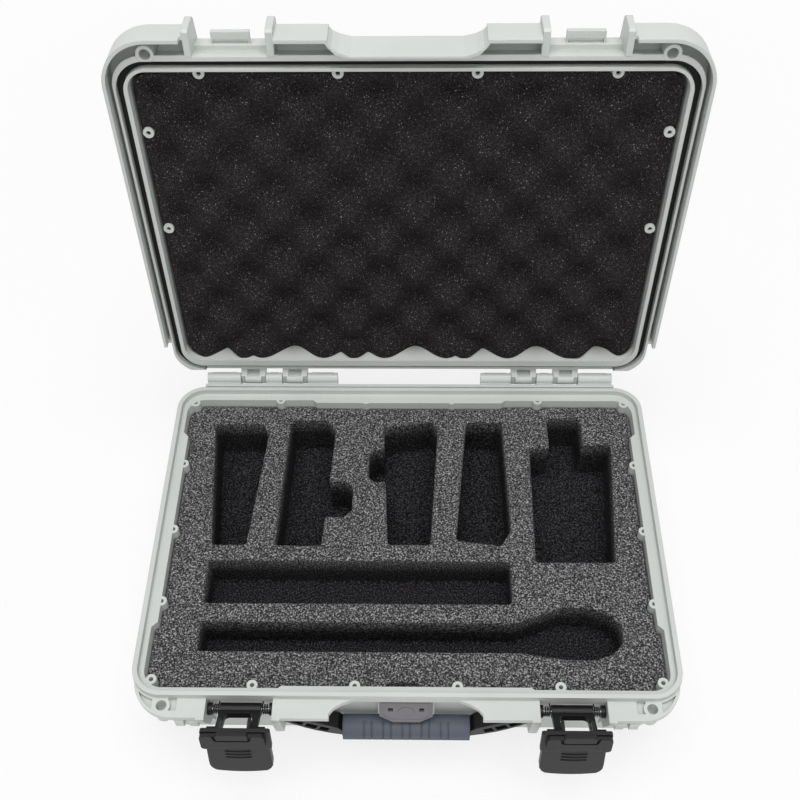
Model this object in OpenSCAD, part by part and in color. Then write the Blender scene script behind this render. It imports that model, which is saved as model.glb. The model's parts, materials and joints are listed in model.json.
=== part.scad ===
// Microphone case: a moulded carrying case with a hinged lid, two latches
// with slide locks, a folding handle and fitted foam. Millimetres, +Z up.
// It is drawn as photographed: the lid stands open and the latches hang down.
// The origin is on the floor under the centre of the base; -Y is the front.

/* [Part to show] */
// which sub-part is drawn

/* [Case] */
// inside length at the rim
inside_x = 335; // [325:1:345]
// inside depth at the rim, front to back
inside_y = 232; // [226:1:238]
// height of the base, from the floor to its rim
base_h = 80; // [76:1:86]
// height of the closed lid above the rim
lid_h = 39; // [37:0.5:44]
// radius of the inside corners at the rim
inside_r = 12.5; // [11:0.5:14]
// thickness of the case floor
floor_t = 4.5; // [4:0.5:5.5]
// height of the moulded feet
foot_h = 2.5; // [2:0.5:3]
// how far each wall leans in from the rim to the floor
draft = 7.5; // [5:0.5:8]
// width of the sealing ridge on the rim
ridge_w = 3.2; // [2.8:0.1:3.4]
// height of the sealing ridge
ridge_h = 4.5; // [4:0.1:4.8]
// how far the front apron stands out from the inside wall
apron_out = 20; // [18:0.5:20.4]
// thickness of the apron plate
apron_t = 4; // [3:0.5:4]
// diameter of the padlock holes
padlock_d = 6.6; // [6:0.1:6.8]

/* [Lid] */
// angle between closed and standing open
lid_open = 96; // [90:1:100]
// how far the lid skirt overlaps below the rim
skirt_drop = 4; // [3:0.5:4.5]
// thickness of the lid skirt
skirt_t = 2.2; // [1.8:0.1:2.4]
// width of the catch bars that the latches hook
catch_w = 23; // [21:0.5:24]

/* [Hinges] */
// diameter of the hinge pins
hinge_pin_d = 3.2; // [2.8:0.1:3.6]
// outer radius of the hinge knuckles
knuckle_r = 4.4; // [4.1:0.1:4.6]
// gap between a base knuckle and a lid knuckle
knuckle_gap = 0.3; // [0.2:0.05:0.5]
// running clearance of a pin, on the radius
pin_clear = 0.05; // [0.03:0.01:0.1]

/* [Latches] */
// distance from the middle of the case to the middle of a latch
latch_x = 104.5; // [102:0.5:106]
// width of the bay that each latch sits in
bay_w = 42; // [41.4:0.2:42.6]
// length of the latch link between its two pins
link_l = 22; // [21.4:0.2:22.4]
// width of the latch link
link_w = 26; // [25:0.5:27]
// angle of the link above level, latch hanging open
link_low = 30; // [28:1:32]
// angle of the link above level, latch closed
link_high = 75; // [74:0.5:76]
// outward lean of the hanging lever
lever_lean = 9; // [8:0.5:10]
// width of the lever head
lever_w = 42.6; // [42:0.1:42.8]
// length of the lever below its pin
lever_l = 41; // [38:0.5:43]
// width of the slide lock
lock_w = 39.4; // [38.6:0.1:39.6]
// travel of the slide lock
lock_travel = 2.8; // [2:0.1:2.9]
// diameter of the latch pins
latch_pin_d = 3; // [2.6:0.1:3.2]
// wire of the latch springs
spring_wire = 0.9; // [0.75:0.05:0.9]

/* [Handle] */
// distance from the middle of the case to a handle ear
handle_x = 77.9; // [77:0.1:78]
// thickness of the handle frame, front to back
handle_t = 11; // [10:0.5:11]
// height of the grip
grip_h = 17.4; // [16:0.2:17.8]
// length of the grip
grip_l = 88; // [84:1:92]
// angle that the handle swings up through
handle_swing = 90; // [80:1:92]

/* [Relief valve] */
// how far the valve leans out from the wall at its lower edge, in degrees
valve_tilt = 20; // [14:1:21]

/* [Foam] */
// depth of the base foam surface below the rim
foam_down = 6; // [5:0.5:8]
// thickness of the loose pad under the cut foam
foam_pad_t = 12; // [10:1:14]
// depth of the deep pockets in the foam
pocket_deep = 38; // [34:1:42]
// depth of the long pockets in the foam
pocket_long = 30; // [26:1:34]
// gap between the foam and the case
foam_gap = 0.4; // [0.3:0.1:0.8]

/* [Hidden] */
$fn = 40;
e = 0.01;
rim = base_h;
hx = inside_x / 2;
hy = inside_y / 2;
in_front = -hy - 1;
in_back = hy - 1;
ridge_x = hx + 5.1;
ridge_y = hy + 6.4;
ridge_r = inside_r + 5.5;
rim_x = hx + 7.4;
rim_front = -ridge_y - 1.7;
rim_back = hy + 11.2;
wall_front = -hy - 5;
apron_y = in_front - apron_out;
floor_z = foot_h + floor_t;
hinge_y = hy + 18.65;
hinge_z = rim + 2.8;
hinge_gap = knuckle_gap / 2;
tip_step = 3.2;
// hinge stations, measured out from the middle of the case
base_cap_in = [54.7, 77.8];
lid_knuckle_in = [78, 97.2];
base_knuckle = [97.2, 110];
lid_knuckle_out = [110, 129];
base_cap_out = [129, 154.6];
// latch pivots: barrel on the base, lever pin at the end of the link
barrel_y = -hy - 11;
barrel_z = rim - 10;
barrel_r = 4;
lever_y = barrel_y - link_l * cos(link_low);
lever_z = barrel_z + link_l * sin(link_low);
closed_y = barrel_y - link_l * cos(link_high);
closed_z = barrel_z + link_l * sin(link_high);
catch_z = closed_z + 3.7;
catch_h = 3.2;
catch_front = closed_y - 2.9;
catch_back = closed_y + 1.7;
catch_wall = closed_y + 4.4;
bay_in = latch_x - bay_w / 2;
bay_out = latch_x + bay_w / 2;
cheek_t = 5.3;
cheek_y = apron_y - 1.4;
guard_low = 28;
padlock_x = hx - 14.3;
padlock_y = -hy - 13;
// lid, in its closed position
skirt_x = hx + 13.5;
skirt_front = apron_y - 0.6 - skirt_t;
skirt_back = hy - 19;
lid_x = hx + 9;
lid_back = hy + 11.5;
lid_front = catch_wall;
shelf_z = rim + 13;
lid_top = rim + lid_h;
// base screw bosses and lid posts
boss_r = 3.5;
boss_hole_r = 1.4;
foam_top = rim - foam_down;
pad_z = floor_z + foam_gap;

// ---------- shared shapes ----------

// flat rounded rectangle from corner to corner
module plate(x0, y0, x1, y1, r) {
    union() {
        translate([x0 + r, y0]) square([x1 - x0 - 2 * r, y1 - y0]);
        translate([x0, y0 + r]) square([x1 - x0, y1 - y0 - 2 * r]);
        for (x = [x0 + r, x1 - r])
            for (y = [y0 + r, y1 - r])
                translate([x, y]) circle(r);
    }
}

// closed band between two rounded rectangles about the middle of the ridge
module ridge_band(grow_in, grow_out) {
    difference() {
        plate(-ridge_x - grow_out, -ridge_y - grow_out, ridge_x + grow_out, ridge_y + grow_out,
              ridge_r + grow_out);
        plate(-ridge_x + grow_in, -ridge_y + grow_in, ridge_x - grow_in, ridge_y - grow_in,
              ridge_r - grow_in);
    }
}

module block(x0, x1, y0, y1, z0, z1) {
    translate([x0, y0, z0]) cube([x1 - x0, y1 - y0, z1 - z0]);
}

// bar along X
module rod(x0, x1, y, z, r) {
    translate([x0, y, z]) rotate([0, 90, 0]) cylinder(h = x1 - x0, r = r);
}

module both_sides() {
    children();
    mirror([1, 0, 0]) children();
}

// turns lid shapes from the closed position to the open one
module opened() {
    translate([0, hinge_y, hinge_z]) rotate([-lid_open, 0, 0])
        translate([0, -hinge_y, -hinge_z]) children();
}

// profile in the side view (points are depth, height), swept along X
module web(x0, x1, points) {
    translate([x0, 0, 0]) rotate([90, 0, 90]) linear_extrude(x1 - x0) polygon(points);
}

// ---------- base shell ----------

module outer_walls() {
    hull() {
        // the lower edge is chamfered all round
        translate([0, 0, foot_h])
            linear_extrude(1)
                plate(-rim_x + draft + 9, wall_front + 13, rim_x - draft - 9, rim_back - 15, 14);
        translate([0, 0, foot_h + 14])
            linear_extrude(1)
                plate(-rim_x + draft, wall_front + 4, rim_x - draft, rim_back - 6.5, 17);
        translate([0, 0, rim - apron_t - 1])
            linear_extrude(1 + e) plate(-rim_x, wall_front, rim_x, rim_back, ridge_r + 2);
    }
}

module inside_space(grow) {
    hull() {
        translate([0, 0, floor_z])
            linear_extrude(1)
                plate(-hx + 13 - grow, in_front + 12 - grow, hx - 13 + grow, in_back - 12 + grow,
                      inside_r);
        translate([0, 0, floor_z + 11])
            linear_extrude(1)
                plate(-hx + 5 - grow, in_front + 4 - grow, hx - 5 + grow, in_back - 4 + grow, inside_r);
        translate([0, 0, rim])
            linear_extrude(1)
                plate(-hx - grow, in_front - grow, hx + grow, in_back + grow, inside_r);
    }
}

// the walls are thicker along the middle of each side
module thick_side(grow) {
    polygon([[hx + 6, in_back - 30], [hx - 0.2 + e, in_back - 31], [hx - 3.7 - grow, in_back - 34.5],
             [hx - 3.7 - grow, in_front + 45.5], [hx - 0.2 + e, in_front + 42], [hx + 6, in_front + 41]]);
}

module thick_middles(grow) {
    both_sides() thick_side(grow);
    translate([0, in_front - 6])
        polygon([[-81, 0], [-81, 6], [-79, 7.5 + grow], [79, 7.5 + grow], [81, 6], [81, 0]]);
    translate([0, in_back + 6])
        polygon([[-73, 0], [-73, -6], [-70, -8.5 - grow], [70, -8.5 - grow], [73, -6], [73, 0]]);
}

// places of the screw bosses inside the rim
module at_bosses() {
    for (x = [-hx + 70, -hx + 135, hx - 135, hx - 70])
        for (y = [in_front + 2, in_back])
            translate([x, y, 0]) children();
    for (x = [-hx + 5.4, hx - 5.4])
        for (y = [in_front + 5.4, in_back - 2.9])
            translate([x, y, 0]) children();
    for (x = [-hx + 3.9, hx - 3.9])
        for (y = [-56.1, 0, 55.7])
            translate([x, y, 0]) children();
}

module apron_outline() {
    plate(-hx - 5, apron_y, hx + 5, 0, 26);
}

// crescent pocket between the rim corner and the edge of the apron
module corner_recess() {
    difference() {
        translate([-hx + 21, apron_y + 26]) circle(24);
        translate([-hx + 12.9, in_front + 12.6]) circle(21);
        translate([-padlock_x - 6.2, apron_y]) square([60, 60]);
    }
}

module padlock_pocket() {
    difference() {
        translate([-padlock_x + 4, padlock_y - 3.2]) square([5.4, 8.6]);
        translate([-padlock_x, padlock_y]) circle(5.6);
    }
}

module handle_notch() {
    polygon([[-48, apron_y - 5], [-48, apron_y + 3.5], [-45.3, apron_y + 7], [-40, apron_y + 10.2],
             [-33, rim_front + e], [33, rim_front + e], [40, apron_y + 10.2], [45.3, apron_y + 7],
             [48, apron_y + 3.5], [48, apron_y - 5]]);
}

module apron() {
    difference() {
        translate([0, 0, rim - apron_t])
            linear_extrude(apron_t)
                difference() {
                    apron_outline();
                    handle_notch();
                    both_sides()
                        translate([bay_in, apron_y - 5]) square([bay_w, rim_front - apron_y + 5]);
                }
        both_sides()
            translate([0, 0, rim - 3]) linear_extrude(4) {
                corner_recess();
                padlock_pocket();
            }
    }
    // rounded nibs at the ends of the handle notch
    both_sides() translate([50, apron_y + 1.9, rim - apron_t]) cylinder(h = apron_t, r = 2);
    // tubes round the padlock holes
    both_sides() translate([padlock_x, padlock_y, rim - 13]) cylinder(h = 13, r = 5.4);
}

// walls on both sides of a latch bay; the inner one also carries the handle
module latch_cheeks() {
    web(bay_out, bay_out + cheek_t,
        [[wall_front + 3, rim], [cheek_y, rim], [cheek_y, rim - 4], [barrel_y - 5, rim - 24],
         [wall_front + 5, rim - 36]]);
    web(bay_in - cheek_t, bay_in,
        [[wall_front + 3, rim], [cheek_y, rim], [cheek_y, rim - 4], [barrel_y - 7.5, rim - 28],
         [barrel_y - 3.5, rim - 31], [wall_front + 5, rim - 42]]);
    // short ledges under the apron outside the latch
    for (x = [bay_out + cheek_t - 1, bay_out + cheek_t + 8])
        web(x, x + 5.6,
            [[wall_front + 3, rim - 3], [apron_y, rim - 3], [apron_y, rim - 5], [apron_y - 1, rim - 5],
             [apron_y - 1, rim - 11], [wall_front + 3, rim - 18]]);
}

module corner_guard_outline() {
    difference() {
        plate(-hx - 12, -hy - 15, hx + 12, hy + 14.5, 30);
        square([2 * (hx - 40), 400], center = true);
        square([600, 2 * (hy - 34)], center = true);
    }
}

// the bumpers stand out at the top and run into the wall lower down
module guard_space() {
    hull() {
        translate([0, 0, guard_low - 1])
            linear_extrude(1) plate(-hx - 1.5, -hy - 2, hx + 1.5, hy + 6, 22);
        translate([0, 0, rim - 23])
            linear_extrude(1) plate(-hx - 11, -hy - 9.5, hx + 11, hy + 14, 30);
    }
}

// ribbed bumpers on the four corners, under the rim
module corner_guards() {
    intersection() {
        guard_space();
        union() {
            for (z = [guard_low + 2, rim - 45, rim - 26])
                translate([0, 0, z]) linear_extrude(3) corner_guard_outline();
            both_sides()
                for (x = [hx - 39.6, hx - 27, hx - 14.5]) {
                    block(x, x + 3, -hy - 14.5, -hy + 4, guard_low, rim - 23);
                    block(x, x + 3, hy - 4, hy + 14, guard_low, rim - 23);
                }
            both_sides()
                for (y = [-hy + 4, -hy + 18, hy - 21, hy - 7])
                    block(hx - 6, hx + 11.5, y, y + 3, guard_low, rim - 23);
        }
    }
}

module base_knuckle(x0, x1) {
    difference() {
        union() {
            rod(x0, x1, hinge_y, hinge_z, knuckle_r);
            web(x0, x1, [[rim_back - 2, rim - 10], [rim_back - 2, hinge_z - 0.4],
                         [hinge_y, hinge_z - 0.4], [hinge_y + 4.2, hinge_z - 1],
                         [hinge_y + 1, rim - 3]]);
        }
        // the tip is narrower than the root
        for (x = [x0 - 1, x1 - tip_step])
            block(x, x + tip_step + 1, hinge_y + 2.1, hinge_y + 9, rim - 20, rim + 20);
    }
}

module feet() {
    for (x = [-hx + 50, hx - 50])
        for (y = [-hy + 30, hy - 30])
            translate([x, y, 0]) linear_extrude(foot_h + 1) plate(-24, -12, 24, 12, 6);
    for (x = [-70, 0, 70])
        translate([x, 0, 0]) linear_extrude(foot_h + 1) plate(-3, -70, 3, 70, 2.9);
}

module base_solid() {
    outer_walls();
    translate([0, 0, rim - apron_t])
        linear_extrude(apron_t) plate(-rim_x, rim_front, rim_x, rim_back, ridge_r + 2);
    // ridge that presses into the lid seal
    translate([0, 0, rim - e]) linear_extrude(ridge_h + e) ridge_band(ridge_w / 2, ridge_w / 2);
    // ledge behind the ridge at the back
    block(-hx + 12, hx - 12, ridge_y + 2.4, rim_back, rim - e, rim + ridge_h);
    apron();
    both_sides() {
        latch_cheeks();
        base_knuckle(base_cap_in[0], base_cap_in[1]);
        base_knuckle(base_knuckle[0] + hinge_gap, base_knuckle[1] - hinge_gap);
        base_knuckle(base_cap_out[0] + hinge_gap, base_cap_out[1]);
    }
    corner_guards();
    feet();
    // swelling on the front wall that the relief valve sits on
    valve_seat();
}

module valve_seat() {
    intersection() {
        facing_front(wall_front - 0.4, wall_front + 14) valve_outline(-0.8);
        block(-30, 30, wall_front - 20, 0, rim - 23.4, rim - 4);
    }
}

module base_shell() {
    color([0.80, 0.81, 0.79]) {
        difference() {
            base_solid();
            inside_space(0);
            both_sides() {
                translate([padlock_x, padlock_y, rim - 20]) cylinder(h = 30, d = padlock_d);
                rod(base_cap_in[0] + 4, base_cap_out[1] - 2, hinge_y, hinge_z,
                    hinge_pin_d / 2 + pin_clear);
                rod(bay_in - 20, bay_out + 3.4, barrel_y, barrel_z, latch_pin_d / 2);
            }
            // seat and air passage of the relief valve
            facing_front(wall_front - 2, wall_front + 12) translate([0, -9]) circle(4);
        }
        intersection() {
            translate([0, 0, floor_z - 1]) linear_extrude(rim - floor_z + 1) thick_middles(0);
            inside_space(1);
        }
        difference() {
            intersection() {
                at_bosses() translate([0, 0, floor_z - 1]) cylinder(h = rim - floor_z + 1, r = boss_r);
                inside_space(1);
            }
            at_bosses() translate([0, 0, rim - 14]) cylinder(h = 15, r = boss_hole_r);
        }
    }
}

// ---------- foam in the base ----------

// outlines of the seven cut-outs, seen from above
module pack_pocket_a() {
    polygon([[-146, 97], [-109.4, 97], [-105, 87], [-113, -8.5], [-137, -8.5]]);
}

module pack_pocket_b() {
    polygon([[-88.7, 101], [-61, 101], [-54.8, 91.7], [-57.4, 45.8], [-46, 45.8], [-40, 40],
             [-40, 20], [-46, 14.7], [-59, 14.7], [-60.3, -9], [-92.7, -9]]);
}

module pack_pocket_c() {
    polygon([[-18.4, 93.7], [17.2, 101], [21.7, 92], [15.8, -7.8], [-13.8, -7.8], [-16.5, 45],
             [-25, 45], [-29, 49], [-29, 70], [-25, 74.5], [-18, 74.5]]);
}

module pack_pocket_d() {
    polygon([[43.3, 99.5], [70, 99.5], [72.3, 4], [65, -8.3], [34, -4.3]]);
}

module transmitter_pocket() {
    polygon([[89.8, 75], [104.3, 76], [104.3, 103.4], [128.8, 103.4], [128.8, 78], [150, 79.6],
             [143, -21], [88.3, -21.3]]);
}

module cable_pocket() {
    translate([-137, -53.5]) square([207.5, 32.5]);
}

module microphone_pocket() {
    polygon([[-137, -67.5], [-137, -88.5], [60, -88.5], [72, -88.5], [104, -93.4], [122, -93.4],
             [134, -89], [141, -82], [142, -75], [141, -67], [134, -60], [122, -55.7],
             [104, -55.7], [72, -67.5]]);
}

module cut_outs() {
    translate([0, 0, foam_top - pocket_deep]) linear_extrude(pocket_deep + 1) {
        pack_pocket_a();
        pack_pocket_b();
        pack_pocket_c();
        pack_pocket_d();
        transmitter_pocket();
    }
    translate([0, 0, foam_top - pocket_long]) linear_extrude(pocket_long + 1) {
        cable_pocket();
        microphone_pocket();
    }
    // place for a fingertip at the front edge
    translate([-12, in_front, foam_top - 6]) cube([20, 7, 7]);
}

module foam_block(z0, z1) {
    difference() {
        intersection() {
            inside_space(-foam_gap);
            translate([-hx, in_front, z0]) cube([inside_x, inside_y, z1 - z0]);
        }
        translate([0, 0, z0 - 1]) linear_extrude(z1 - z0 + 2) thick_middles(foam_gap);
        at_bosses() translate([0, 0, z0 - 1]) cylinder(h = z1 - z0 + 2, r = boss_r + foam_gap);
    }
}

module base_foam() {
    color([0.17, 0.17, 0.18])
        difference() {
            foam_block(pad_z + foam_pad_t, foam_top);
            cut_outs();
        }
}

module base_foam_pad() {
    color([0.15, 0.15, 0.16]) foam_block(pad_z, pad_z + foam_pad_t);
}

// ---------- pins ----------

module hinge_pin() {
    rod(base_cap_in[0] + 4.2, base_cap_out[1] - 2.2, hinge_y, hinge_z, hinge_pin_d / 2);
}

module latch_pivot_pin() {
    rod(handle_x - 7.6, bay_out + 3.2, barrel_y, barrel_z, latch_pin_d / 2);
}

module hinge_pin_left() {
    color([0.62, 0.63, 0.64]) mirror([1, 0, 0]) hinge_pin();
}

module hinge_pin_right() {
    color([0.62, 0.63, 0.64]) hinge_pin();
}

module latch_left_pivot_pin() {
    color([0.62, 0.63, 0.64]) mirror([1, 0, 0]) latch_pivot_pin();
}

module latch_right_pivot_pin() {
    color([0.62, 0.63, 0.64]) latch_pivot_pin();
}

// collars on the pivot pin, between the springs and the walls of the bay
module latch_bushings() {
    color([0.12, 0.12, 0.13])
        difference() {
            for (x = [bay_in + 0.2, bay_out - 2.8])
                rod(x, x + 2.6, barrel_y, barrel_z, barrel_r);
            rod(bay_in - 1, bay_out + 1, barrel_y, barrel_z, latch_pin_d / 2 + pin_clear);
        }
}

module latch_left_bushings() {
    mirror([1, 0, 0]) latch_bushings();
}

module latch_right_bushings() {
    latch_bushings();
}

// ---------- relief valve on the front wall ----------

// outline of the valve cover in the front view, top edge at zero
module valve_outline(inset) {
    polygon([[-17 + inset, -inset], [17 - inset, -inset], [17 - inset, -14],
             [8.5, -19.5 + inset], [-8.5, -19.5 + inset], [-17 + inset, -14]]);
}

// flat shapes of the valve, set from y0 to y1 and then leant out below
module facing_front(y0, y1) {
    translate([0, wall_front, rim - 5]) rotate([-valve_tilt, 0, 0])
        translate([0, y1 - wall_front, 0]) rotate([90, 0, 0]) linear_extrude(y1 - y0) children();
}

module relief_valve_cover() {
    color([0.50, 0.50, 0.51])
        difference() {
            union() {
                facing_front(wall_front - 2.6, wall_front - 0.7) valve_outline(0);
                facing_front(wall_front - 3.1, wall_front - 2.5) valve_outline(1.6);
            }
            // raised rim round a shallow face, an oval boss and two vents
            facing_front(wall_front - 4, wall_front - 2.7)
                difference() {
                    valve_outline(2.8);
                    translate([0, -9]) scale([1.5, 1]) circle(3.4);
                }
            facing_front(wall_front - 4, wall_front)
                for (x = [-9.9, 9.9])
                    translate([x - 1.6, -9.6]) square([3.2, 3.2]);
            facing_front(wall_front - 1.7, wall_front) translate([0, -9]) circle(7.5);
        }
}

module relief_valve_seal() {
    color([0.10, 0.10, 0.10])
        facing_front(wall_front - 0.7, wall_front - 0.4)
            difference() {
                valve_outline(0.8);
                translate([0, -9]) circle(7.5);
            }
}

module relief_valve_membrane() {
    color([0.88, 0.88, 0.85])
        facing_front(wall_front - 0.9, wall_front - 0.4) translate([0, -9]) circle(6.5);
}

// ---------- lid, drawn closed and then opened ----------

module skirt_outline(inset) {
    intersection() {
        plate(-skirt_x + inset, skirt_front + inset, skirt_x - inset, hy + 60, 30 - inset);
        translate([-400, -400]) square([800, 400 + skirt_back]);
    }
}

module lid_outer() {
    hull() {
        translate([0, 0, rim + 1])
            linear_extrude(1) plate(-lid_x, lid_front, lid_x, lid_back, ridge_r + 3);
        translate([0, 0, lid_top - 3])
            linear_extrude(1) plate(-lid_x + 8, lid_front + 10, lid_x - 8, lid_back - 10, ridge_r);
    }
    // shoulder over the skirt
    hull() {
        translate([0, 0, shelf_z]) linear_extrude(3) skirt_outline(0);
        translate([0, 0, shelf_z + 11])
            linear_extrude(1) plate(-lid_x + 5, lid_front + 7, lid_x - 5, skirt_back, ridge_r + 2);
    }
    translate([0, 0, rim - skirt_drop])
        linear_extrude(shelf_z - rim + skirt_drop + e)
            difference() {
                skirt_outline(0);
                skirt_outline(skirt_t);
            }
    // closing walls at the back ends of the skirt
    both_sides() block(lid_x - 1, skirt_x - 0.4, skirt_back - 2.2, skirt_back, rim + 1, shelf_z + 1);
}

// raised border and stacking pads on the top face
module lid_top_pads() {
    translate([0, 0, lid_top - 3]) linear_extrude(2)
        difference() {
            plate(-lid_x + 12, lid_front + 14, lid_x - 12, lid_back - 14, ridge_r - 2);
            plate(-lid_x + 25, lid_front + 27, lid_x - 25, lid_back - 27, ridge_r - 8);
        }
    for (x = [-hx + 50, hx - 50])
        for (y = [-hy + 30, hy - 36])
            translate([x, y, lid_top - 3])
                linear_extrude(3)
                    difference() {
                        plate(-30, -16, 30, 16, 7);
                        plate(-25.2, -13.2, 25.2, 13.2, 4);
                    }
}

// the handle notch in the lid skirt; grow makes it wider for its wall
module lid_notch(grow) {
    polygon([[-46 - grow, skirt_front - 12], [-46 - grow, skirt_front + 2], [-44 - grow, skirt_front + 5],
             [-40 - grow, skirt_front + 7.6 + grow], [-33 - grow, lid_front - 1.6 + grow],
             [33 + grow, lid_front - 1.6 + grow], [40 + grow, skirt_front + 7.6 + grow],
             [44 + grow, skirt_front + 5], [46 + grow, skirt_front + 2], [46 + grow, skirt_front - 12]]);
}

module lid_front_ribs() {
    rib = [[lid_front + 1, rim + 0.8], [apron_y - 5, rim + 0.8], [apron_y - 6.6, rim + 2.4],
           [apron_y - 6.6, rim + 18], [apron_y - 4, rim + 21], [lid_front + 8, rim + 27]];
    web(bay_in - 6.1, bay_in - 1.7, rib);
    web(bay_out + 0.5, bay_out + 4.5, rib);
    // wall that follows the handle notch
    intersection() {
        translate([0, 0, rim - skirt_drop])
            linear_extrude(shelf_z - rim + skirt_drop + 1)
                difference() {
                    lid_notch(1.6);
                    lid_notch(0);
                }
        block(0, 60, skirt_front, lid_front + 1, rim - 20, rim + 40);
    }
}

// bar that the claws of a latch hook over, held off the wall at both ends
module catch_bar() {
    block(latch_x - catch_w / 2, latch_x + catch_w / 2, catch_front, catch_back, catch_z,
          catch_z + catch_h);
    for (x = [latch_x - catch_w / 2, latch_x + catch_w / 2 - 1])
        block(x, x + 1, catch_back - e, lid_front + 1, catch_z, catch_z + catch_h);
}

module at_lid_posts() {
    for (x = [-hx + 43.3, -hx + 126.1, hx - 126.1, hx - 43.3])
        for (y = [in_front + 1.5, in_back - 5.5])
            translate([x, y, 0]) children();
    for (x = [-hx + 6.1, hx - 6.1])
        for (y = [-76, -3.8])
            translate([x, y, 0]) children();
}

module lid_inside(shrink) {
    hull() {
        translate([0, 0, rim - 6])
            linear_extrude(8)
                plate(-hx - 0.1 + shrink, in_front - 1 + shrink, hx + 0.1 - shrink,
                      in_back - 0.5 - shrink, inside_r);
        translate([0, 0, lid_top - 6])
            linear_extrude(1)
                plate(-hx + 4 + shrink, in_front + 3 + shrink, hx - 4 - shrink, in_back - 4 - shrink,
                      inside_r);
    }
}

module lid_knuckle(x0, x1) {
    difference() {
        union() {
            rod(x0, x1, hinge_y, hinge_z, knuckle_r);
            web(x0, x1, [[lid_back - 2.5, rim + 5.2], [lid_back + 1, rim + 5.2],
                         [hinge_y - 4.1, hinge_z - 1], [hinge_y, hinge_z - 1],
                         [hinge_y + 3.4, hinge_z + 2.6], [hinge_y - 1, hinge_z + 7],
                         [lid_back - 2.5, rim + 16]]);
        }
        // window between the knuckle and the wall
        block(x0 + 4.6, x1 - 4.6, lid_back + 0.5, hinge_y - knuckle_r + 0.8, rim - 5, rim + 13);
        // the tip is narrower than the root
        for (x = [x0 - 1, x1 - tip_step])
            block(x, x + tip_step + 1, hinge_y - 9, hinge_y + 9, rim - 5, hinge_z - 2.1);
    }
}

module lid_closed() {
    difference() {
        union() {
            lid_outer();
            lid_top_pads();
            both_sides() {
                lid_front_ribs();
                translate([padlock_x, padlock_y, rim + 0.8]) cylinder(h = shelf_z - rim + 4, r = 5.4);
            }
        }
        lid_inside(0);
        // channel over the ridge, and room for the ledge behind it
        translate([0, 0, rim - 8]) linear_extrude(17) ridge_band(2.2, 2.2);
        block(-hx - 30, hx + 30, ridge_y + 2.2, lid_back + 1, rim - 8, rim + 5);
        both_sides() {
            translate([padlock_x, padlock_y, rim]) cylinder(h = 40, d = padlock_d);
            block(bay_in - 1.7, bay_out + 0.5, apron_y - 20, lid_front, rim - 20, closed_z + 14);
            block(bay_in - cheek_t - 0.9, bay_out + cheek_t + 0.6, apron_y - 20, lid_front, rim - 20,
                  rim + 0.8);
            // room behind the closed link
            block(bay_in - 1.7, bay_out + 0.5, apron_y - 20, lid_front + 1, rim - 20, rim + 6);
        }
        translate([0, 0, rim - 20]) linear_extrude(48) lid_notch(0);
    }
    both_sides() {
        catch_bar();
        difference() {
            union() {
                lid_knuckle(lid_knuckle_in[0] + hinge_gap, lid_knuckle_in[1] - hinge_gap);
                lid_knuckle(lid_knuckle_out[0] + hinge_gap, lid_knuckle_out[1] - hinge_gap);
            }
            rod(base_cap_in[0], base_cap_out[1], hinge_y, hinge_z, hinge_pin_d / 2 + pin_clear);
        }
    }
    difference() {
        at_lid_posts() translate([0, 0, rim + 3.8]) cylinder(h = lid_h - 8.8, r = boss_r);
        at_lid_posts() translate([0, 0, rim + 3]) cylinder(h = 14, r = boss_hole_r);
    }
}

module lid_shell() {
    color([0.80, 0.81, 0.79]) opened() lid_closed();
}

module lid_gasket() {
    color([0.08, 0.08, 0.08])
        opened()
            translate([0, 0, rim + ridge_h + 0.3])
                linear_extrude(4.5 - ridge_h + 4.2) ridge_band(1.7, 1.7);
}

// convoluted foam: staggered bumps on a sheet that fills the lid
module lid_foam() {
    color([0.09, 0.09, 0.10])
        opened()
            difference() {
                intersection() {
                    lid_inside(foam_gap);
                    union() {
                        block(-hx, hx, -hy - 2, hy, rim + 11.5, lid_top - 5.3);
                        for (row = [-4:4])
                            for (col = [-4:3])
                                translate([22.5 + 45 * col + (row % 2 == 0 ? 0 : 22.5), 25 * row, rim + 2.5])
                                    cylinder(h = 10, r1 = 7, r2 = 17, $fn = 10);
                    }
                }
                at_lid_posts() translate([0, 0, rim]) cylinder(h = lid_h, r = boss_r + foam_gap);
            }
}

// ---------- latches, drawn on the right and mirrored to the left ----------

lever_in = bay_in - 1.3 - latch_x;
lever_out = lever_in + lever_w;
lever_pin_r = 1.5;
lock_x0 = latch_x + lever_out - lock_w / 2;
ear_x = link_w / 2 + 0.3;

// thin shapes drawn in the front view of a lever, from y0 to y1
module lever_plate(y0, y1) {
    translate([0, y1, 0]) rotate([90, 0, 0]) linear_extrude(y1 - y0) children();
}

module lever_at_rest() {
    translate([latch_x, lever_y, lever_z]) rotate([-lever_lean, 0, 0]) children();
}

module link_at_rest() {
    translate([latch_x, barrel_y, barrel_z]) rotate([-link_low, 0, 0]) children();
}

module latch_link() {
    color([0.13, 0.13, 0.14])
        link_at_rest()
            difference() {
                union() {
                    rod(-link_w / 2, link_w / 2, 0, 0, barrel_r);
                    translate([0, 0, -2])
                        linear_extrude(4)
                            difference() {
                                translate([-link_w / 2, -link_l]) square([link_w, link_l]);
                                plate(-8.85, -link_l - 12, 8.85, -6.3, 3);
                            }
                    for (x = [-link_w / 2, 8.85])
                        rod(x, x + link_w / 2 - 8.85, -link_l, 0, 3.2);
                }
                rod(-link_w, link_w, 0, 0, latch_pin_d / 2 + pin_clear);
                rod(-link_w, link_w, -link_l, 0, lever_pin_r + pin_clear);
            }
}

module smile_rib(z, w) {
    translate([0, z])
        intersection() {
            translate([0, 40])
                difference() {
                    circle(41.1, $fn = 90);
                    circle(40, $fn = 90);
                }
            translate([-w / 2, -3]) square([w, 6]);
        }
}

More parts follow.
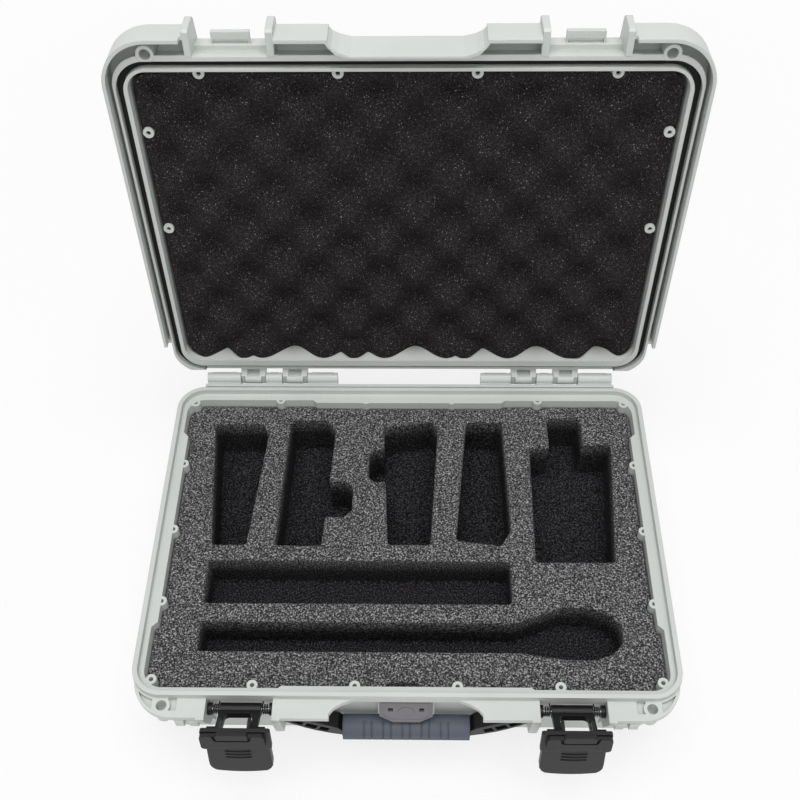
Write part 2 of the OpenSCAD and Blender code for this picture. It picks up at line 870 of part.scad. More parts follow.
module lever_tab_outline() {
    intersection() {
        plate(lever_in + 2.2, -lever_l, lever_out - 0.7, 10, 9);
        translate([-0.6, -lever_l + 78]) circle(78, $fn = 120);
        polygon([[lever_in + 1.9, -8], [lever_out - 1.6, -8], [lever_out - 0.6, -30],
                 [lever_out - 0.6, -lever_l - 1], [lever_in + 2, -lever_l - 1]]);
    }
}

module latch_lever() {
    color([0.14, 0.14, 0.15])
        lever_at_rest()
            difference() {
                union() {
                    lever_plate(-6, -3.5) plate(lever_in, -9, lever_out, 10.6, 1.6);
                    lever_plate(-4.6, -1.4) lever_tab_outline();
                    // slope between the head and the tab
                    web(lever_in + 3, lever_out - 2, [[-6, -8.9], [-3.5, -8.9], [-1.5, -12], [-4.5, -12]]);
                    // stiff edges down both sides of the tab
                    block(lever_in + 2, lever_in + 3.6, -4.5, 0.8, -lever_l + 7, -9);
                    block(lever_out - 2.9, lever_out - 1.3, -4.5, 0.8, -lever_l + 7, -9);
                    for (x = [-ear_x - 4.6, ear_x])
                        difference() {
                            union() {
                                rod(x, x + 4.6, 0, 0, 3.2);
                                block(x, x + 4.6, -4, 0, -3.2, 3.2);
                            }
                            rod(x - 1, x + 6, 0, 0, lever_pin_r);
                        }
                    // two claws that reach over the catch bar
                    for (x = [-10.1, 8.3])
                        web(x, x + 1.8,
                            [[-3.6, 6], [-3.6, 10.5], [3, 10.5], [3.9, 9.6], [3.9, 4.4], [2, 4.4],
                             [2, 7.5], [-2.9, 7.5]]);
                    lever_plate(-5.2, -4.5)
                        for (z = [-16, -19.6, -23.2]) smile_rib(z, 16);
                }
                // slot that guides the slide lock
                lever_plate(-7, -3)
                    translate([lock_x0 - latch_x - lock_travel - 4.3, -1.2])
                        square([lock_travel + 8.6, 2.4]);
            }
}

module latch_lever_pin() {
    color([0.62, 0.63, 0.64])
        lever_at_rest() rod(-ear_x - 4.4, ear_x + 4.4, 0, 0, lever_pin_r);
}

module latch_lock() {
    color([0.15, 0.15, 0.16])
        lever_at_rest()
            translate([lock_x0 - latch_x, 0, 0]) {
                difference() {
                    lever_plate(-9.2, -6.2)
                        difference() {
                            plate(-lock_w / 2, -4.6, lock_w / 2, 9.4, 2.4);
                            polygon([[-16, -5], [-12.5, -1.6], [12.5, -1.6], [16, -5]]);
                        }
                    lever_plate(-10, -7.9)
                        polygon([[-12.4, 11], [-11.2, 5.2], [-9.6, 3.8], [9.6, 3.8], [11.2, 5.2],
                                 [12.4, 11]]);
                }
                lever_plate(-9.1, -6.2) plate(-9.8, 5, 9.8, 10.8, 1.3);
                // stem and head that hold it to the lever
                block(-4, 4, -6.3, -3, -1.1, 1.1);
                block(-4, 4, -3.3, -1.9, -2.2, 2.2);
            }
}

// spring wire: rings of six points along a coil with straight ends
spring_turns = 2.5;
spring_r = 2.9;
spring_pitch = 1.4;
spring_rings = spring_turns * 8;

function coil_point(i) =
    let (a = 45 * i) [spring_pitch * i / 8, spring_r * cos(a), spring_r * sin(a)];

function spring_path() = concat(
    [[0, spring_r, -4]],
    [for (i = [0:spring_rings]) coil_point(i)],
    [[spring_pitch * spring_turns, -spring_r, -spring_wire]]);

function unit(v) = v / norm(v);

function ring(path, i) =
    let (n = len(path) - 1,
         d = unit(path[min(i + 1, n)] - path[max(i - 1, 0)]),
         u = unit(cross(d, cross([1, 0, 0], d))),
         v = cross(d, u))
    [for (k = [0:5]) path[i] + spring_wire / 2 * (cos(60 * k) * u + sin(60 * k) * v)];

module wire_coil() {
    path = spring_path();
    n = len(path) - 1;
    points = [for (i = [0:n]) each ring(path, i)];
    // each side of a ring step is two triangles, so that every face is flat
    sides = [for (i = [0:n - 1]) for (k = [0:5])
        let (a = 6 * i + k, b = 6 * i + (k + 1) % 6)
        each [[a, b, b + 6], [a, b + 6, a + 6]]];
    polyhedron(points, concat([[5, 4, 3, 2, 1, 0]], sides, [[for (k = [0:5]) 6 * n + k]]));
}

echo(least_spring_gap = spring_pitch - spring_wire);

module latch_springs() {
    color([0.13, 0.13, 0.14])
        link_at_rest() {
            translate([ear_x + 0.55, 0, 0]) rotate([90, 0, 0]) wire_coil();
            translate([-ear_x - 0.55, 0, 0]) mirror([1, 0, 0]) rotate([90, 0, 0]) wire_coil();
        }
}

module latch_right_link() {
    latch_link();
}

module latch_right_springs() {
    latch_springs();
}

module latch_right_lever() {
    latch_lever();
}

module latch_right_lever_pin() {
    latch_lever_pin();
}

module latch_right_lock() {
    latch_lock();
}

module latch_left_link() {
    mirror([1, 0, 0]) latch_link();
}

module latch_left_springs() {
    mirror([1, 0, 0]) latch_springs();
}

module latch_left_lever() {
    mirror([1, 0, 0]) latch_lever();
}

module latch_left_lever_pin() {
    mirror([1, 0, 0]) latch_lever_pin();
}

module latch_left_lock() {
    mirror([1, 0, 0]) latch_lock();
}

// ---------- handle, hanging down ----------

ear_r = handle_t / 2;
grip_y = barrel_y - 1.5;
grip_z = rim - 34.5;

// distance from the middle, from 0 at the end of the grip to 1 at the ear
function arm_x(t) = grip_l / 2 + t * (handle_x - grip_l / 2);

module handle_arm() {
    grip_end = grip_l / 2 - 2.7;
    polygon([[handle_x - 7.3, -10], [handle_x, -10], [handle_x, -15.5], [arm_x(0.845), -20.4],
             [arm_x(0.623), -26.5], [arm_x(0.415), -31.2], [arm_x(0.184), -35.2], [arm_x(0), -37.5],
             [grip_end, -38.5], [grip_end, -31], [arm_x(0), -27], [arm_x(0.19), -22.5],
             [arm_x(0.461), -16.5], [arm_x(0.678), -11.5]]);
}

module handle_hollows() {
    polygon([[arm_x(0.799), -14], [arm_x(0.881), -16.8], [arm_x(0.678), -22.4], [arm_x(0.612), -18]]);
    polygon([[arm_x(0.558), -19.2], [arm_x(0.629), -23.8], [arm_x(0.434), -28.4],
             [arm_x(0.358), -23.4]]);
    polygon([[arm_x(0.309), -24.4], [arm_x(0.385), -29.4], [arm_x(0.206), -32.4],
             [arm_x(0.152), -27.6]]);
}

module handle_frame() {
    color([0.12, 0.12, 0.13]) {
        both_sides()
            difference() {
                union() {
                    rod(handle_x - 7.3, handle_x, barrel_y, barrel_z, ear_r);
                    translate([0, barrel_y + ear_r, rim]) rotate([90, 0, 0])
                        linear_extrude(handle_t) handle_arm();
                }
                rod(handle_x - 10, handle_x + 2, barrel_y, barrel_z, latch_pin_d / 2 + pin_clear);
                for (y = [barrel_y + ear_r + 1, barrel_y - 1.2])
                    translate([0, y, rim]) rotate([90, 0, 0])
                        linear_extrude(ear_r) handle_hollows();
            }
        block(-grip_l / 2 + 1, grip_l / 2 - 1, barrel_y - 2.5, barrel_y + 2.5, grip_z - 3.6, grip_z + 3.6);
    }
}

module grip_section(grow) {
    plate(-7.4 - grow, -grip_h / 2 - grow, 7.4 + grow, grip_h / 2 + grow, 6.4 + grow);
}

// outline of a finger pad: two lines over the front and one between them
module pad_lines() {
    for (x = [-2.9, 2])
        block(x, x + 0.9, -10, 0, -5, 10);
    block(-2.9, 2.9, -10, 0, -5.9, -5);
}

module along_grip(length, grow) {
    translate([-length / 2, 0, 0])
        rotate([90, 0, 90]) linear_extrude(length) grip_section(grow);
}

module handle_grip() {
    color([0.35, 0.37, 0.41])
        difference() {
            translate([0, grip_y, grip_z]) along_grip(grip_l - 6, 0);
            block(-grip_l, grip_l, barrel_y - 2.5, barrel_y + 2.5, grip_z - 3.6, grip_z + 3.6);
            translate([0, grip_y, grip_z])
                difference() {
                    for (i = [-2:2])
                        translate([i * grip_l * 0.14, 0, 0]) pad_lines();
                    along_grip(grip_l, -0.6);
                }
        }
}

// ---------- what is drawn ----------

base_shell();
base_foam();
base_foam_pad();
hinge_pin_left();
hinge_pin_right();
latch_left_pivot_pin();
latch_right_pivot_pin();
latch_left_bushings();
latch_right_bushings();
relief_valve_cover();
relief_valve_seal();
relief_valve_membrane();
lid_shell();
lid_gasket();
lid_foam();
latch_left_link();
latch_left_springs();
latch_left_lever();
latch_left_lever_pin();
latch_left_lock();
latch_right_link();
latch_right_springs();
latch_right_lever();
latch_right_lever_pin();
latch_right_lock();
handle_frame();
handle_grip();
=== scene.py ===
# %% [markdown]
# # A moulded microphone case
# This file dresses a hard carrying case that was drawn in CAD: a silver grey shell with a
# hinged lid, two black latches, a folding handle and fitted foam. The CAD parts come in as
# a fixed frame with their joints. Blender adds finishes, soft foam, light and a camera.
# Each step has a short note first and then small cells that do it.

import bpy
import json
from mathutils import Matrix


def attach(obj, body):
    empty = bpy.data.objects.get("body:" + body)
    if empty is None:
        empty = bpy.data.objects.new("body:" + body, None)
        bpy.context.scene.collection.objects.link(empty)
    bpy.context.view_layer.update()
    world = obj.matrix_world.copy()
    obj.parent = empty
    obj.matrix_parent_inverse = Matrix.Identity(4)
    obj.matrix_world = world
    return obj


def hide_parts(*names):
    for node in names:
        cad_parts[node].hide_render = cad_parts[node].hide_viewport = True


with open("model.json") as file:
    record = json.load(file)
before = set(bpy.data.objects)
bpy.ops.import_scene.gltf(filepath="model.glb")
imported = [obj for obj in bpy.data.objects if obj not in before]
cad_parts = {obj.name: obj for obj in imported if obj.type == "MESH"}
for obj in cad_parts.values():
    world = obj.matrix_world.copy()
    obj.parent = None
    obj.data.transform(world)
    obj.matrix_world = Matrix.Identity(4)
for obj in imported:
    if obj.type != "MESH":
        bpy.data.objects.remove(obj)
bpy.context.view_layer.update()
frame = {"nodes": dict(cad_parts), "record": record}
nodes = frame["nodes"]

# %% [markdown]
# ## Modules and units
# Blender counts in metres and the case was drawn in millimetres, so sizes are written in
# millimetres here and multiplied by one factor. Most heights are counted from the rim of
# the base, where base and lid meet.

# %% Modules and units
import json
import math

import bmesh
import bpy
from mathutils import Matrix, Vector

MM = 0.001
RIM = 80


def add_to_scene(thing):
    bpy.context.scene.collection.objects.link(thing)
    return thing


print("one millimetre is", MM, "and the rim of the base is", RIM, "mm above the floor")

# %% [markdown]
# ## Camera
# The picture looks down into the open case from in front, so the camera stands over the
# latches and tips down by a little more than half a right angle. An aim point would fix
# the direction too, but not the slight roll, so it is built from three plain angles: the
# turn to the side, the tip downwards and the roll. A small shift moves the frame up
# without tipping the camera further.

# %% Direction of the camera
CAMERA_AT = Vector((6.4, -378.6, 620.2 + RIM)) * MM
TURN, TIP, ROLL = (math.radians(a) for a in (-1.61, 54.09, -1.09))

forward = Vector((math.sin(TURN) * math.cos(TIP), math.cos(TURN) * math.cos(TIP), -math.sin(TIP)))
level = Vector((math.cos(TURN), -math.sin(TURN), 0))
upright = level.cross(forward)
right = level * math.cos(ROLL) + upright * math.sin(ROLL)
up = upright * math.cos(ROLL) - level * math.sin(ROLL)
print("the camera looks along", [round(v, 2) for v in forward])

# %% Camera over the front of the case
PICTURE_WIDTH = 800
FOCAL_PIXELS = 1041.4
SENSOR_WIDTH = 36

camera_data = bpy.data.cameras.new("photo_camera")
camera_data.sensor_width = SENSOR_WIDTH
camera_data.lens = FOCAL_PIXELS / PICTURE_WIDTH * SENSOR_WIDTH
camera_data.shift_y = 0.06
camera_data.clip_start, camera_data.clip_end = 0.01, 60
camera = add_to_scene(bpy.data.objects.new("photo_camera", camera_data))
camera.matrix_world = Matrix.Translation(CAMERA_AT) @ Matrix((right, up, -forward)).transposed().to_4x4()
bpy.context.scene.camera = camera
print("camera at", [round(v, 3) for v in CAMERA_AT], "lens", round(camera_data.lens, 1), "mm")

# %% [markdown]
# ## White for the eye only
# The case is shown on white. More lamps would make the floor white, but they would bleach
# the case as well. So the floor and the world are given a plain white that only the eye
# meets: rays that come straight from the camera, or by way of a mirror or through glass.
# The rays that carry light onto the case never see it.

# %% Nodes that tell the rays apart
def seen_by_eye(tree):
    """1 for rays of the camera, a reflection or a transmission, 0 for the light on things."""
    rays = tree.nodes.new("ShaderNodeLightPath")
    value = rays.outputs["Is Camera Ray"]
    for kind in ("Is Glossy Ray", "Is Transmission Ray"):
        either = tree.nodes.new("ShaderNodeMath")
        either.operation = "MAXIMUM"
        tree.links.new(value, either.inputs[0])
        tree.links.new(rays.outputs[kind], either.inputs[1])
        value = either.outputs[0]
    return value


def between(tree, value, low, high, start=0.0, stop=1.0):
    """A number that goes from low to high while the value goes from start to stop."""
    scale = tree.nodes.new("ShaderNodeMapRange")
    scale.inputs["From Min"].default_value = start
    scale.inputs["From Max"].default_value = stop
    scale.inputs["To Min"].default_value = low
    scale.inputs["To Max"].default_value = high
    tree.links.new(value, scale.inputs["Value"])
    return scale.outputs["Result"]


print("rays of the eye can be told from rays of light")

# %% [markdown]
# ## Floor
# The floor is one large square with a dull white finish. Near the case the eye sees three
# parts of plain white to one part of lit floor, so the soft shadow stays. The share of
# plain white grows with the distance, as on a sweep that runs out of the light, and so
# the far edge of the floor doesn't show.

# %% Finish of the floor
FLOOR_COLOUR = (0.93, 0.93, 0.93)
FLOOR_WHITE = 0.75
SWEEP_FROM, SWEEP_TO = 0.25, 1.4


def new_finish(name):
    finish = bpy.data.materials.new(name)
    finish.use_nodes = True
    tree = finish.node_tree
    return finish, tree, tree.nodes["Principled BSDF"]


def share_of_white(tree):
    """How much plain white the eye sees: more with the distance from the case."""
    away = tree.nodes.new("ShaderNodeVectorMath")
    away.operation = "LENGTH"
    tree.links.new(tree.nodes.new("ShaderNodeTexCoord").outputs["Object"], away.inputs[0])
    share = tree.nodes.new("ShaderNodeMath")
    share.operation = "MULTIPLY"
    tree.links.new(seen_by_eye(tree), share.inputs[0])
    sweep = between(tree, away.outputs["Value"], FLOOR_WHITE, 1.0, SWEEP_FROM, SWEEP_TO)
    tree.links.new(sweep, share.inputs[1])
    return share.outputs[0]


def floor_finish():
    finish, tree, shader = new_finish("white_floor")
    shader.inputs["Base Color"].default_value = (*FLOOR_COLOUR, 1)
    shader.inputs["Roughness"].default_value = 0.9
    shader.inputs["Specular IOR Level"].default_value = 0.1
    plain_white = tree.nodes.new("ShaderNodeEmission")
    blend = tree.nodes.new("ShaderNodeMixShader")
    tree.links.new(share_of_white(tree), blend.inputs["Fac"])
    tree.links.new(shader.outputs["BSDF"], blend.inputs[1])
    tree.links.new(plain_white.outputs["Emission"], blend.inputs[2])
    tree.links.new(blend.outputs["Shader"], tree.nodes["Material Output"].inputs["Surface"])
    return finish


print("white near the case:", FLOOR_WHITE, "and all white from", SWEEP_TO, "m on")

# %% White floor
FLOOR_HALF = 6.0

mesh = bpy.data.meshes.new("white_floor")
corners = [(sx * FLOOR_HALF, sy * FLOOR_HALF, 0) for sx, sy in ((-1, -1), (1, -1), (1, 1), (-1, 1))]
mesh.from_pydata(corners, [], [(0, 1, 2, 3)])
mesh.materials.append(floor_finish())
floor = add_to_scene(bpy.data.objects.new("white_floor", mesh))
print("floor", 2 * FLOOR_HALF, "metres wide")

# %% [markdown]
# ## World and lamps
# A product picture of this kind is taken under large soft boxes. One broad lamp hangs over
# the case, a weaker one stands in front, and the world gives the rest from all sides.
# Together they light a level surface at about the strength at which a colour looks as it
# was written.

# %% World
WORLD_FILL = 0.45

world = bpy.data.worlds.new("studio")
bpy.context.scene.world = world
world.use_nodes = True
tree = world.node_tree
background = tree.nodes["Background"]
background.inputs["Color"].default_value = (1, 1, 1, 1)
tree.links.new(between(tree, seen_by_eye(tree), WORLD_FILL, 1.0), background.inputs["Strength"])
print("the world lights the case at", WORLD_FILL)


# %% Soft boxes
def soft_box(name, place, aim, size, power):
    lamp = bpy.data.lights.new(name, "AREA")
    lamp.shape = "RECTANGLE"
    lamp.size, lamp.size_y = size
    lamp.energy = power
    holder = add_to_scene(bpy.data.objects.new(name, lamp))
    holder.location = place
    holder.rotation_euler = (Vector(aim) - Vector(place)).to_track_quat("-Z", "Y").to_euler()


soft_box("overhead_box", (0.0, -0.2, 2.2), (0, 0, 0.1), (1.6, 1.2), 26.5)
soft_box("front_box", (0.2, -1.8, 1.5), (0, 0, 0.15), (1.4, 0.9), 7)
bpy.context.scene.view_settings.view_transform = "Standard"
print("two soft boxes, one overhead and one in front")

# %% [markdown]
# ## Hard finishes
# Shell, latches, handle and pins are moulded plastic, rubber and steel. Pictures could give
# them a grain, but a noise in the shader has no seams and needs no unwrapping. It is laid
# out in the coordinates of the object, which are metres, so a grain of half a millimetre is
# the same on every part. Each finish has a fine grain, a slow change of tone as from
# handling, and edges that catch the light as if they were rounded.

# %% Noise and tone
def noise_on(tree, size, detail=2.0):
    """Noise whose features are about size metres wide."""
    noise = tree.nodes.new("ShaderNodeTexNoise")
    noise.inputs["Scale"].default_value = 1 / size
    noise.inputs["Detail"].default_value = detail
    tree.links.new(tree.nodes.new("ShaderNodeTexCoord").outputs["Object"], noise.inputs["Vector"])
    return noise.outputs["Fac"]


def tone(tree, source, stops):
    """A colour that follows the source through stops of a place and a colour."""
    ramp = tree.nodes.new("ShaderNodeValToRGB")
    band = ramp.color_ramp.elements
    for _ in stops[2:]:
        band.new(1.0)
    for seat, (place, colour) in zip(band, stops):
        seat.position = place
        seat.color = (*colour, 1)
    tree.links.new(source, ramp.inputs["Fac"])
    return ramp.outputs["Color"]


def bumpy(tree, height, depth, normal=None):
    """A normal that is roughened by a height of at most depth metres."""
    bump = tree.nodes.new("ShaderNodeBump")
    bump.inputs["Distance"].default_value = depth
    tree.links.new(height, bump.inputs["Height"])
    if normal:
        tree.links.new(normal, bump.inputs["Normal"])
    return bump.outputs["Normal"]


print("noise, tone and bump are ready")


# %% Moulded plastic, rubber and steel
SLOW_CHANGE = 60 * MM


def moulded(name, colour, roughness, grain=0.5 * MM, depth=0.02 * MM, edge=0.5 * MM, vary=0.03,
            specular=0.5, metallic=0.0):
    finish, tree, shader = new_finish(name)
    low = [c * (1 - vary) for c in colour]
    high = [min(1, c * (1 + vary)) for c in colour]
    slow = tone(tree, noise_on(tree, SLOW_CHANGE), [(0.35, low), (0.65, high)])
    tree.links.new(slow, shader.inputs["Base Color"])
    shader.inputs["Roughness"].default_value = roughness
    shader.inputs["Specular IOR Level"].default_value = specular
    shader.inputs["Metallic"].default_value = metallic
    rounded = tree.nodes.new("ShaderNodeBevel")
    rounded.samples = 6
    rounded.inputs["Radius"].default_value = edge
    skin = bumpy(tree, noise_on(tree, grain), depth, rounded.outputs["Normal"])
    tree.links.new(skin, shader.inputs["Normal"])
    return finish


print("a moulded finish changes its tone over", round(SLOW_CHANGE / MM), "mm")

# %% One finish for each material of the case
finish_of_slot = {
    "case_polymer": moulded("case_polymer", (0.60, 0.625, 0.60), 0.42, edge=0.7 * MM),
    "valve_polymer": moulded("valve_polymer", (0.18, 0.17, 0.185), 0.45, edge=0.3 * MM),
    "black_polymer": moulded("black_polymer", (0.0115, 0.011, 0.0125), 0.45, grain=0.7 * MM,
                             depth=0.03 * MM, vary=0.12, specular=0.3),
    "grip_rubber": moulded("grip_rubber", (0.094, 0.106, 0.134), 0.6, depth=0.04 * MM,
                           edge=2.0 * MM, vary=0.06, specular=0.25),
    "gasket_rubber": moulded("gasket_rubber", (0.010, 0.010, 0.011), 0.65, vary=0.1, specular=0.2),
    "pin_steel": moulded("pin_steel", (0.50, 0.51, 0.52), 0.5, edge=0.2 * MM, metallic=1.0),
    "spring_steel": moulded("spring_steel", (0.02, 0.02, 0.022), 0.5, edge=0.1 * MM, specular=0.3),
    "membrane": moulded("membrane", (0.75, 0.75, 0.72), 0.9, grain=0.3 * MM),
}
print("hard finishes:", len(finish_of_slot))

# %% Give each hard CAD part its finish
dressed = 0
for part in frame["record"]["subparts"]:
    finish = finish_of_slot.get(part["material_slot"])
    if finish:
        for seat in nodes[part["node"]].material_slots:
            seat.material = finish
        dressed += 1
print("finished parts:", dressed)

# %% [markdown]
# ## Foam finishes
# Both foams are full of small open cells. A plain dark colour would look like felt, so a
# noise is cut into three tones: shade inside the cells, the foam itself, and the pale rims
# that catch the light. The same noise drives the bump, so light and shade belong together.

# %% Speckled foam
def speckled_foam(name, dark, middle, pale, cell, depth):
    """A foam with its speckled colour, which is not yet linked to the shader."""
    finish, tree, shader = new_finish(name)
    cells = noise_on(tree, cell, detail=4.0)
    shader.inputs["Roughness"].default_value = 0.95
    shader.inputs["Specular IOR Level"].default_value = 0.15
    tree.links.new(bumpy(tree, cells, depth), shader.inputs["Normal"])
    return finish, tree, shader, tone(tree, cells, [(0.40, dark), (0.54, middle), (0.68, pale)])


def blend_colours(tree, kind, amount, first, second):
    """Mixes the colour of a socket with one of three numbers, by an amount from a socket."""
    mix = tree.nodes.new("ShaderNodeMix")
    mix.data_type = "RGBA"
    mix.blend_type = kind
    tree.links.new(amount, mix.inputs["Factor"])
    tree.links.new(first, mix.inputs["A"])
    mix.inputs["B"].default_value = (*second, 1)
    return mix.outputs["Result"]


print("foam has three tones")

# %% [markdown]
# ## Charcoal foam of the base
# The base holds a charcoal foam of coarse cells with many pale specks. The walls and floors
# of its pockets get painted shade: below the top of the block the colour is multiplied
# darker, as shade falls in the recesses.

# %% Charcoal foam
# Heights of the painted shade in the pockets: none above the first, full below the second.
POCKET_SHADE_BEGINS, POCKET_SHADE_FULL = 72 * MM, 58 * MM

base_foam_finish, tree, shader, speckles = speckled_foam(
    "base_foam", (0.017, 0.0165, 0.0175), (0.115, 0.113, 0.117), (0.46, 0.455, 0.465),
    1.1 * MM, 0.5 * MM)
place = tree.nodes.new("ShaderNodeSeparateXYZ")
tree.links.new(tree.nodes.new("ShaderNodeTexCoord").outputs["Object"], place.inputs[0])
# Painted shade: inside the pockets the foam colour is multiplied by a dark grey.
pocket_shade_amount = between(tree, place.outputs["Z"], 0, 1, POCKET_SHADE_BEGINS, POCKET_SHADE_FULL)
painted_pocket_shade = blend_colours(tree, "MULTIPLY", pocket_shade_amount, speckles, (0.20, 0.19, 0.205))
tree.links.new(painted_pocket_shade, shader.inputs["Base Color"])
print("charcoal foam, darker from", round(POCKET_SHADE_BEGINS / MM), "mm down")

# %% [markdown]
# ## Cut foam in the base
# The block keeps the pockets of the CAD part, so its shape is taken from there. The faces
# of a CAD part are too few and too sharp for foam. A remesh gives it an even skin that is
# a little soft at the edges, and a light displacement roughens that skin by a fraction of
# a millimetre. A loose pad of the same foam closes the pockets at their bottom.

# %% Foam pieces with an even skin
GRAIN = 2.2 * MM


def even_skin(foam, cell, rough):
    weld = foam.modifiers.new("weld", "WELD")
    weld.merge_threshold = 0.01 * MM
    skin = foam.modifiers.new("even_skin", "REMESH")
    skin.mode = "VOXEL"
    skin.voxel_size = cell
    skin.use_smooth_shade = True
    texture = bpy.data.textures.new(foam.name + "_grain", "CLOUDS")
    texture.noise_scale = GRAIN
    grain = foam.modifiers.new("grain", "DISPLACE")
    grain.texture = texture
    grain.texture_coords = "LOCAL"
    grain.mid_level = 0.5
    grain.strength = rough


def foam_from_cad(node, name, cell, rough):
    """A new foam piece with an even skin, made from the shape of a CAD node."""
    mesh = nodes[node].data.copy()
    mesh.name = name
    mesh.materials.clear()
    mesh.materials.append(base_foam_finish)
    foam = add_to_scene(bpy.data.objects.new(name, mesh))
    even_skin(foam, cell, rough)
    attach(foam, "base")
    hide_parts(node)


foam_from_cad("base_foam", "cut_foam", 1.3 * MM, 0.5 * MM)
foam_from_cad("base_foam_pad", "under_pad", 3.0 * MM, 0.3 * MM)
print("cut foam over a loose pad, both in the base")

# %% [markdown]
# ## Near black foam of the lid
# The foam of the lid has finer cells and is almost black. Only a few of its cells lie just
# so that they glint, so a second and finer noise is cut off high up and adds sparse specks.

# %% Near black foam with glints
GLINT = 0.75 * MM

lid_foam_finish, tree, shader, speckles = speckled_foam(
    "lid_foam", (0.010, 0.009, 0.0095), (0.022, 0.019, 0.020), (0.052, 0.046, 0.048),
    0.9 * MM, 0.25 * MM)
sparse = tone(tree, noise_on(tree, GLINT, detail=0.0), [(0.74, (0, 0, 0)), (0.82, (1, 1, 1))])
glinting = blend_colours(tree, "MIX", sparse, speckles, (0.34, 0.32, 0.33))
tree.links.new(glinting, shader.inputs["Base Color"])
print("glints of", round(GLINT / MM, 2), "mm on the lid foam")

# %% [markdown]
# ## Convoluted foam in the lid
# The lid is lined with foam cut in staggered bumps. A sculpt or a texture could show them,
# but each bump is a smooth hill of a wave in both directions, so a formula gives them true
# and even. The sheet is worked out as in the closed lid, where its bumps face down. All
# numbers of this part are millimetres, and heights are counted up from the rim.

# %% Waves of the bumps
BUMP_X, BUMP_Y = 46.0, 47.75
FIRST_BUMP = (4.8, -10.1)
BUMP_TOP, VALLEY = 2.5, 17.0
ROUNDNESS = 0.85


def bump_height(x, y):
    """From 0 in a valley to 1 on top of a bump."""
    wave = (math.cos(2 * math.pi * (x - FIRST_BUMP[0]) / BUMP_X)
            * math.cos(2 * math.pi * (y - FIRST_BUMP[1]) / BUMP_Y))
    return ((1 + wave) / 2) ** ROUNDNESS


print("bumps every", BUMP_X, "mm across and", BUMP_Y, "mm along, staggered")

# %% Inside of the lid
CORNER_R = 12.5


def lid_border(z):
    """Inside of the lid at a height over the rim: half width, front and back."""
    lean = min(max((z - 2) / 32, 0), 1)
    return 165.6 - 4.1 * lean, -116.2 + 4.0 * lean, 114.1 - 3.5 * lean


def inside_corners(x, y, half, front, back):
    """Moves a point that is outside the rounded corners onto them."""
    cx = min(max(x, -half + CORNER_R), half - CORNER_R)
    cy = min(max(y, front + CORNER_R), back - CORNER_R)
    away = math.hypot(x - cx, y - cy)
    if away > CORNER_R:
        x, y = cx + (x - cx) * CORNER_R / away, cy + (y - cy) * CORNER_R / away
    return x, y


print("the lid is", round(2 * lid_border(0)[0]), "mm wide for the foam at its rim")

# %% [markdown]
# ## Where the sheet gives way
# The border of the sheet is level at the front and the sides, and still wavy by the hinge,
# where it was cut. Screw posts stand up in the lid. The sheet gives way round those at the
# front and the sides, which stay in sight, and covers those by the hinge.

# %% Height of the sheet
MIDDLE_LEVEL = 9
EDGE_LEVEL, EDGE_BLEND = 5.0, 10
SIDE_EDGE, FRONT_EDGE = 14, 12
POST_R, POST_LEVEL, COVERED_LEVEL = 4.5, 5.5, 3.2
HINGE_SIDE = 100
LID_POSTS = [(side * x, y) for side in (-1, 1)
             for x, y in ((124.2, -115.5), (41.4, -115.5), (124.2, 109.5), (41.4, 109.5),
                          (161.4, -76.0), (161.4, -3.8))]


def sheet_level(u, v):
    """Height over the rim of the point that is u across (-1 to 1) and v along (0 to 1)."""
    half, front, back = lid_border(MIDDLE_LEVEL)
    x, y = u * half, front + v * (back - front)
    over_rim = VALLEY - (VALLEY - BUMP_TOP) * bump_height(x, y)
    edge = max((abs(x) - half + SIDE_EDGE) / EDGE_BLEND, (front + FRONT_EDGE - y) / EDGE_BLEND, 0)
    over_rim += (EDGE_LEVEL - over_rim) * min(edge, 1)
    for px, py in LID_POSTS:
        past = max(0, math.hypot(x - px, y - py) - POST_R)
        if py > HINGE_SIDE:
            over_rim = min(over_rim, COVERED_LEVEL + past)
        else:
            over_rim = min(max(over_rim, POST_LEVEL - past), POST_LEVEL + past)
    return over_rim


print("the sheet gives way to", len(LID_POSTS), "screw posts")

# %% [markdown]
# ## The sheet as a mesh
# The rest position of the lid is open, so every point is turned about the hinge before it
# goes into the mesh. The wavy face is a plain grid. Its border goes straight up to the flat
# back of the sheet, which lies in the lid.

# %% Points of the sheet in the open lid
HINGE_Y, HINGE_Z = 134.65, 82.8
LID_OPEN = math.radians(96)
ACROSS, ALONG = 180, 126
ROW = ACROSS + 1
BACK_LEVEL = 33


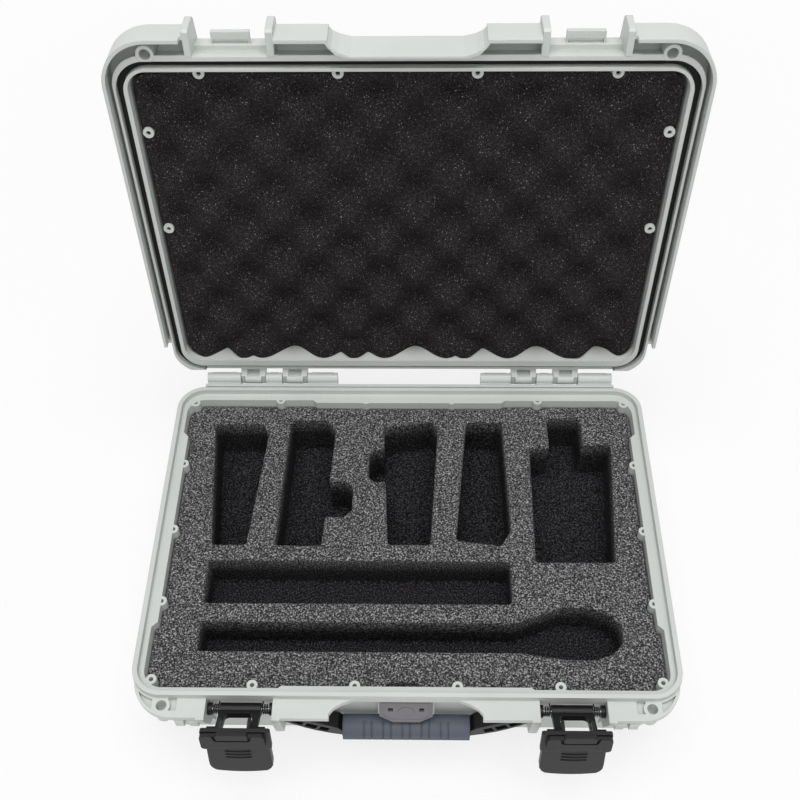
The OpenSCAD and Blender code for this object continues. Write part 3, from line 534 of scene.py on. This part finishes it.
def opened(x, y, z):
    """The place in the open lid of a point of the closed one, in metres."""
    dy, dz = y - HINGE_Y, z - HINGE_Z
    return (x * MM, (HINGE_Y + dy * math.cos(LID_OPEN) + dz * math.sin(LID_OPEN)) * MM,
            (HINGE_Z - dy * math.sin(LID_OPEN) + dz * math.cos(LID_OPEN)) * MM)


def sheet_point(u, v, over_rim):
    half, front, back = lid_border(over_rim)
    x, y = inside_corners(u * half, front + v * (back - front), half, front, back)
    return opened(x, y, RIM + over_rim)


print("grid of", ACROSS, "by", ALONG, "faces")

# %% Wavy face, border and back
corners, faces = [], []
for j in range(ALONG + 1):
    for i in range(ROW):
        u, v = 2 * i / ACROSS - 1, j / ALONG
        corners.append(sheet_point(u, v, sheet_level(u, v)))
for j in range(ALONG):
    for i in range(ACROSS):
        a = j * ROW + i
        faces.append((a, a + ROW, a + ROW + 1, a + 1))

border = ([i for i in range(ROW)] + [j * ROW + ACROSS for j in range(1, ALONG + 1)]
          + [ALONG * ROW + i for i in range(ACROSS - 1, -1, -1)]
          + [j * ROW for j in range(ALONG - 1, 0, -1)])
first_back = len(corners)
for k in border:
    corners.append(sheet_point(2 * (k % ROW) / ACROSS - 1, (k // ROW) / ALONG, BACK_LEVEL))
for k in range(len(border)):
    following = (k + 1) % len(border)
    faces.append((border[k], border[following], first_back + following, first_back + k))
faces.append(tuple(range(first_back, first_back + len(border))))
print("points:", len(corners), "faces:", len(faces))

# %% Foam sheet from points and faces
mesh = bpy.data.meshes.new("convoluted_foam")
mesh.from_pydata(corners, [], faces)
work = bmesh.new()
work.from_mesh(mesh)
bmesh.ops.remove_doubles(work, verts=work.verts, dist=0.02 * MM)
bmesh.ops.recalc_face_normals(work, faces=work.faces)
work.to_mesh(mesh)
work.free()
for face in mesh.polygons:
    face.use_smooth = len(face.vertices) <= 4
mesh.materials.append(lid_foam_finish)
foam = add_to_scene(bpy.data.objects.new("convoluted_foam", mesh))
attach(foam, "lid")
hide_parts("lid_foam")
print("the sheet has", len(mesh.polygons), "faces")
